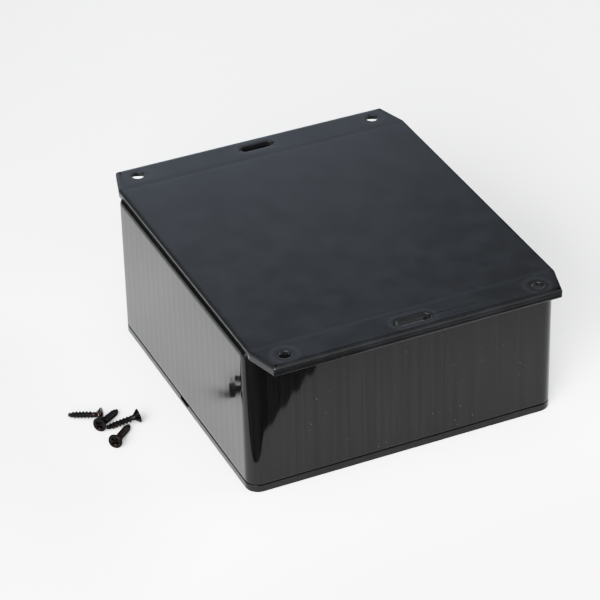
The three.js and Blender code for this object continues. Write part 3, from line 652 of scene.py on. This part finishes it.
# ---------------------------------------------------------------- thermal pad
# A soft grey silicone pad, pressed between the board and the finned block.
soft = Finish("soft_thermal_pad", IOR=1.42)
cloth = soft.noise(0.5, 3.0)
bloom = soft.noise(6.0, 2.0)
soft.link(soft.tint(bloom, (0.19, 0.21, 0.25), (0.26, 0.28, 0.32)), "Base Color")
soft.link(0.75 + 0.15 * cloth, "Roughness")
soft.bump(cloth, 0.03)
dress(soft, "pad", "thermal_pad")


# ---------------------------------------------------------------- antenna connectors
# Donor and server connectors: turned brass, nickel plated, with a fine rolled thread, a white
# insulator and a centre contact. A washer and a hexagon nut clamp each to the right wall.
BARREL_END, BARREL_PITCH, BARREL_ROOT, BORE_RADIUS, THREAD_FROM = 69.5, 0.794, 4.36, 2.5, 57.5
WASHER_FROM, WASHER_THICK, WASHER_RADIUS = 60.1, 0.7, 6.7
NUT_FROM, NUT_THICK, NUT_FLAT = 60.9, 2.4, 6.0
TO_X = np.array([(0, 0, 1), (0, 1, 0), (-1, 0, 0)])

nickel = Finish("nickel_plate", Metallic=1.0)
handling = nickel.noise(2.6, 3.0)
lathe = nickel.noise(0.4, 2.0, (1, 8, 8))
nickel.link(nickel.tint(handling, (0.68, 0.65, 0.59), (0.55, 0.52, 0.47)), "Base Color")
nickel.link(0.14 + 0.12 * handling + 0.08 * lathe, "Roughness")
nickel.bump(lathe, 0.003)

resin = Finish("white_insulator", IOR=1.38)
milk = resin.noise(1.2, 3.0)
resin.link(resin.tint(milk, (0.72, 0.71, 0.68), (0.82, 0.81, 0.79)), "Base Color")
resin.link(0.38 + 0.15 * milk, "Roughness")
resin.bump(milk, 0.008)

angle = 2 * np.pi * np.arange(64) / 64
climb = np.linspace(THREAD_FROM + 0.1, BARREL_END - 0.9, 130)
phase = (climb / BARREL_PITCH - angle[:, None] / (2 * np.pi)) % 1.0
fade = np.clip((BARREL_END - 0.9 - climb) / 0.5, 0, 1)
tooth = np.clip(1 - np.abs(phase - 0.5) / 0.45, 0, 1) * fade
barrel_radius = BARREL_ROOT + (BARREL_RADIUS - BARREL_ROOT) * tooth
start = np.array([(BORE_RADIUS, 56.2), (BARREL_ROOT, 56.2), (BARREL_ROOT, THREAD_FROM)])
nose = np.array([
    (4.3, BARREL_END - 0.6), (4.2, BARREL_END - 0.2), (3.95, BARREL_END), (2.75, BARREL_END),
    (2.55, BARREL_END - 0.15), (BORE_RADIUS, BARREL_END - 0.4), (BORE_RADIUS, 61.2), (BORE_RADIUS, 56.2),
])
ends = [np.broadcast_to(part[:, 0], (64, len(part))) for part in (start, nose)]
radii = np.concatenate([ends[0], barrel_radius, ends[1]], 1)
heights = np.broadcast_to(np.concatenate([start[:, 1], climb, nose[:, 1]]), radii.shape)
barrel = [weave(np.stack([radii * np.cos(angle)[:, None], radii * np.sin(angle)[:, None], heights], -1))]
base = slab(rectangle(0, 0, 6, 6, 0.5, 3), 55.7, THREAD_FROM, top=0.2, bottom=0.2, flat=0.3, steps=3)
grips = []
for side in (-1, 1):
    for low in (0.9, -2.1):
        foot_plan = rectangle(-low - 0.6, side * 5.0, 0.6, 1.0, 0.15, 2, 0)
        grips += slab(foot_plan, 49.6, 56.0, top=0.1, bottom=0.1, flat=0.1, steps=2)
grips += slab(rectangle(-1.3, 0, 0.4, 0.5, 0.1, 2, 0), 52.6, 56.0, top=0.1, bottom=0.1, flat=0.1, steps=2)
insulator = [turned([
    (0, 62.0), (0, 66.9), (0.55, 66.9), (0.7, 67.1), (1.3, 67.1), (1.4, 68.3), (2.2, 68.3),
    (2.46, 68.1), (2.46, 62.0), (0, 62.0),
], 40)]
contact = [turned([
    (0, 66.0), (0.5, 66.0), (0.5, 67.6), (0.38, 67.75), (0.25, 67.6), (0.22, 66.9), (0, 66.9),
], 24)]
washer = slab(circle(0, 0, WASHER_RADIUS, 64), WASHER_FROM, WASHER_FROM + WASHER_THICK,
              [circle(0, 0, 5.0, 64)], top=0.12, bottom=0.12, flat=0.2, steps=3)
sixths = np.arange(6) * math.pi / 3
hexagon = 2 * NUT_FLAT / math.sqrt(3) * np.stack([np.cos(sixths), np.sin(sixths)], -1)
nut_loop = rounded_loop(hexagon, 0.25, 3, 0.5)
between = (nut_loop[0] + np.roll(nut_loop[0], -1, 0)) / 2
nut_points = np.stack([nut_loop[0], between], 1).reshape(-1, 2)
excess = np.linalg.norm(nut_points, axis=1) - NUT_FLAT + 0.1
rise = np.clip(excess, 0, None) * 0.55
zero, top = np.zeros_like(rise), NUT_FROM + NUT_THICK
inward = -np.clip(excess, 0, None)
nut_rims = [
    (inward - 0.3, top + zero), (inward, top + zero), (zero, top - rise), (zero, top - rise - 0.1),
    (zero, NUT_FROM + rise + 0.1), (zero, NUT_FROM + rise), (inward, NUT_FROM + zero),
    (inward - 0.3, NUT_FROM + zero),
]
nut_side = carry((nut_points, nut_points / np.linalg.norm(nut_points, axis=1)[:, None]),
                 np.stack([np.stack(pair, -1) for pair in nut_rims], 1))
nut_bore = carry(hole(circle(0, 0, 4.72, 64)), [
    (-0.6, top), (-0.35, top), (0, top - 0.3), (0, NUT_FROM + 0.3), (-0.3, NUT_FROM), (-0.6, NUT_FROM),
])
nut = [weave(nut_side), weave(nut_bore), fill(nut_side[:, 0], nut_bore[:, 0]),
       fill(nut_side[:, -1], nut_bore[:, -1])]
port_pieces = (
    ("barrel", barrel + base + grips, nickel, "nickel", "connector"),
    ("insulator", insulator, resin, "nickel", "connector"),
    ("contact", contact, nickel, "nickel", "connector"),
    ("lock_washer", washer, zinc, "zinc", "washer"),
    ("hexagon_nut", nut, nickel, "nickel", "nut"),
)
for port, port_y in (("donor", PORT_Y), ("server", -PORT_Y)):
    for name, patches, finish, slot, node in port_pieces:
        placed = moved(patches, (0, port_y, BOARD_MID), TO_X)
        piece(f"{port}_{name}", placed, finish.material, "housing", [f"{port}_{node}"])


# ---------------------------------------------------------------- power jack and light pipe
# The power jack is a moulded block on the board with a round nose flush through the wall and a
# plated centre pin. Beside it a clear moulded pipe brings the lamp's light to the outside.
JACK_FACE, JACK_NOSE, JACK_BORE, JACK_BACK = 57.5, 60.6, 2.8, 44.5
PIN_RADIUS, PIN_END = 1.05, 59.1
FOOT_RADIUS, PIPE_BACK, PIPE_STEP, DOME_BASE, DOME_RISE = 2.5, 56.1, 57.5, 60.2, 0.8

jack_nylon = Finish("black_nylon", IOR=1.53)
matt = jack_nylon.noise(0.3, 3.0)
shine = jack_nylon.noise(3.0, 2.0)
jack_nylon.link(jack_nylon.tint(matt, (0.012, 0.012, 0.013), (0.024, 0.024, 0.025)), "Base Color")
jack_nylon.link(0.36 + 0.18 * shine, "Roughness")
jack_nylon.bump(matt, 0.012)
block = slab(rectangle(0, 0, 5.5, 4.5, 0.4, 3), JACK_BACK, JACK_FACE, top=0.2, bottom=0.2, flat=0.3, steps=3)
snout = [turned([
    (0, JACK_BACK + 3), (JACK_BORE, JACK_BACK + 3), (JACK_BORE, JACK_NOSE - 0.4),
    (JACK_BORE + 0.25, JACK_NOSE - 0.05), (JACK_BORE + 0.4, JACK_NOSE), (NOSE_RADIUS - 0.2, JACK_NOSE),
    (NOSE_RADIUS - 0.05, JACK_NOSE - 0.1), (NOSE_RADIUS, JACK_NOSE - 0.3), (NOSE_RADIUS, JACK_FACE - 0.5),
    (0, JACK_FACE - 0.5),
], 56)]
pin = [turned([
    (0, JACK_BACK + 2), (PIN_RADIUS, JACK_BACK + 2), (PIN_RADIUS, PIN_END - 0.6), (0.9, PIN_END - 0.2),
    (0.55, PIN_END), (0, PIN_END),
], 32)]
clear = Finish("clear_moulded_pipe", IOR=1.49, Transmission_Weight=0.85)
ghost = clear.noise(1.0, 2.0)
clear.link(clear.tint(ghost, (0.86, 0.90, 0.93), (0.78, 0.84, 0.88)), "Base Color")
clear.link(0.08 + 0.08 * ghost, "Roughness")
clear.bump(ghost, 0.004)
bead = np.linspace(0, np.pi / 2, 9)
dome = np.stack([PIPE_RADIUS * np.cos(bead), DOME_BASE + DOME_RISE * np.sin(bead)], -1)
stem = [(0, PIPE_BACK), (FOOT_RADIUS, PIPE_BACK), (FOOT_RADIUS, PIPE_STEP), (PIPE_RADIUS, PIPE_STEP),
        (PIPE_RADIUS, DOME_BASE - 0.2)]
pipe = [turned(np.concatenate([stem, dome]), 40)]
wall_pieces = (
    ("jack_body", block + snout, (0, JACK_Y, JACK_MID), jack_nylon, "chip", "dc_jack"),
    ("jack_pin", pin, (0, JACK_Y, JACK_MID), nickel, "nickel", "dc_jack"),
    ("indicator_pipe", pipe, (0, PIPE_Y, PIPE_MID), clear, "clear", "light_pipe"),
)
for name, patches, at, finish, slot, node in wall_pieces:
    piece(name, moved(patches, at, TO_X), finish.material, "housing", [node])


# ---------------------------------------------------------------- floor and light
# A plain pale sheet with painted light: painted brighter round the booster and painted darker towards
# the back and the rear left, and lit by large soft panels. A black card in front of the sheet is seen
# only in reflections, and a pale backdrop that closes the view above the sheet is seen only directly.
SHEET = [(-4, -4, 0), (4, -4, 0), (4, 6, 0), (-4, 6, 0)]
CARD_EDGE = [(-16, -114), (-44, -89), (-72, -70), (-170, -40), (-900, -180), (-900, -900), (900, -900),
             (900, -141), (30, -141), (8, -133)]
CARD_HEIGHT = 0.5
BACKDROP_RADIUS, BACKDROP_TOP, BACKDROP_SIDES = 1.8, 3.0, 96


def furnish(name, corners, faces, finish):
    """A part of the studio, from corners in metres."""
    mesh = bpy.data.meshes.new(name)
    mesh.from_pydata(corners, [], faces)
    mesh.materials.append(finish.material)
    made = bpy.data.objects.new(name, mesh)
    bpy.context.scene.collection.objects.link(made)
    return made


paper = Finish("pale_sheet_painted_light", IOR=1.45, Roughness=0.75)
x, y = paper.place()[:2]
# Painted light and shade on the sheet: a pool of painted light round the booster (away), painted fall-off
# towards the back (depth), and deeper painted shade towards the rear left (corner).
depth = (0.4 * x + 0.915 * y).ramp(0, 260)
corner = (0.5 * y - 0.87 * x).ramp(90, 300)
away = (x.size() - WALL_OUT).maximum(y.size() - WALL_OUT).ramp(0, 75)
tone = paper.tint(away, (0.97, 0.97, 0.97), (0.80, 0.80, 0.80))
tone = paper.tint(depth, tone, (0.76, 0.76, 0.76))
tone = paper.tint(corner * 0.8, tone, (0.60, 0.60, 0.60))
tooth = paper.noise(1.5, 3.0)
paper.link(paper.tint(tooth * 0.08, tone, (0.7, 0.7, 0.7)), "Base Color")
furnish("floor_sheet", SHEET, [(0, 1, 2, 3)], paper)

black = Finish("black_card", Roughness=0.9)
black.link(black.tint(black.noise(8.0), (0.03, 0.02, 0.015), (0.04, 0.03, 0.02)), "Base Color")
card_corners = np.array([(*corner_at, CARD_HEIGHT) for corner_at in CARD_EDGE]) / 1000
card = furnish("black_card", card_corners, [range(len(CARD_EDGE))], black)
card.visible_camera = card.visible_diffuse = card.visible_shadow = card.visible_transmission = False

glow = Finish("pale_backdrop", Base_Color=(0, 0, 0, 1), Emission_Color=(0.97, 0.98, 1, 1),
              Emission_Strength=0.8)
turn = np.linspace(0, 2 * np.pi, BACKDROP_SIDES, endpoint=False)
ring = BACKDROP_RADIUS * np.stack([np.cos(turn), np.sin(turn)], -1)
posts = [(*spot, height) for spot in ring for height in (0.0, BACKDROP_TOP)]
screens = [[(2 * side + step) % len(posts) for step in (0, 1, 3, 2)] for side in range(BACKDROP_SIDES)]
drop = furnish("backdrop", posts, screens, glow)
drop.visible_diffuse = drop.visible_glossy = drop.visible_shadow = drop.visible_transmission = False


def panel(name, place, width, height, power, colour=(1, 1, 1)):
    """A soft area light at `place`, facing the booster's foot."""
    light = bpy.data.lights.new(name, "AREA")
    light.shape, light.size, light.size_y = "RECTANGLE", width, height
    light.energy, light.color = power, colour
    made = bpy.data.objects.new(name, light)
    made.location = place
    made.rotation_euler = (-Vector(place)).to_track_quat("-Z", "Y").to_euler()
    bpy.context.scene.collection.objects.link(made)


panel("overhead_panel", (-0.2, 0, 2.0), 2.0, 2.0, 14.0)
panel("left_panel", (-2.0, -0.3, 1.2), 1.5, 1.5, 25)
panel("front_panel", (0.2, -2.2, 1.4), 2.0, 1.5, 17.5)
panel("front_left_panel", (-1.5, -1.6, 1.2), 1.5, 1.5, 76)
panel("right_panel", (2.0, -0.4, 1.2), 1.5, 1.5, 26)
panel("low_rear_panel", (0.4, 2.6, 0.75), 2.0, 1.1, 13.0, (0.86, 0.96, 1.10))
world = bpy.data.worlds.new("studio")
bpy.context.scene.world = world
world.use_nodes = True
surround = world.node_tree.nodes["Background"].inputs
surround["Color"].default_value = (0.9, 0.95, 1.0, 1.0)
surround["Strength"].default_value = 0.03

# A tone curve that lifts the middle tones and rolls off the bright ones.
BRIGHTEST = 2.0
TONES = ((0.01, 0.016), (0.0225, 0.040), (0.05, 0.115), (0.085, 0.24), (0.15, 0.43), (0.25, 0.64),
         (0.4, 0.83), (0.5, 0.90), (0.65, 0.955), (0.8, 0.985))
settings = bpy.context.scene.view_settings
settings.view_transform = "Standard"
settings.use_curve_mapping = True
film = settings.curve_mapping
film.white_level = (BRIGHTEST, BRIGHTEST, BRIGHTEST)
for level, shown in TONES:
    film.curves[3].points.new(level, shown)
film.update()


# ---------------------------------------------------------------- camera
# A long lens from the front left, a third of the way up to overhead, with a slight roll.
AIM, DISTANCE = Vector((-0.0111, 0.0042, 0.030)), 1.0526
AZIMUTH, ELEVATION, ROLL = math.radians(-23.81), math.radians(33.0), math.radians(1.43)

lens = bpy.data.cameras.new("camera")
lens.lens, lens.sensor_width = 172.4, 36.0
camera = bpy.data.objects.new("camera", lens)
flat = math.cos(ELEVATION)
back = Vector((math.sin(AZIMUTH) * flat, -math.cos(AZIMUTH) * flat, math.sin(ELEVATION)))
camera.location = AIM + back * DISTANCE
camera.rotation_mode = "QUATERNION"
roll = Quaternion((0, 0, 1), -ROLL)
camera.rotation_quaternion = (-back).to_track_quat("-Z", "Y") @ roll
bpy.context.scene.collection.objects.link(camera)
bpy.context.scene.camera = camera
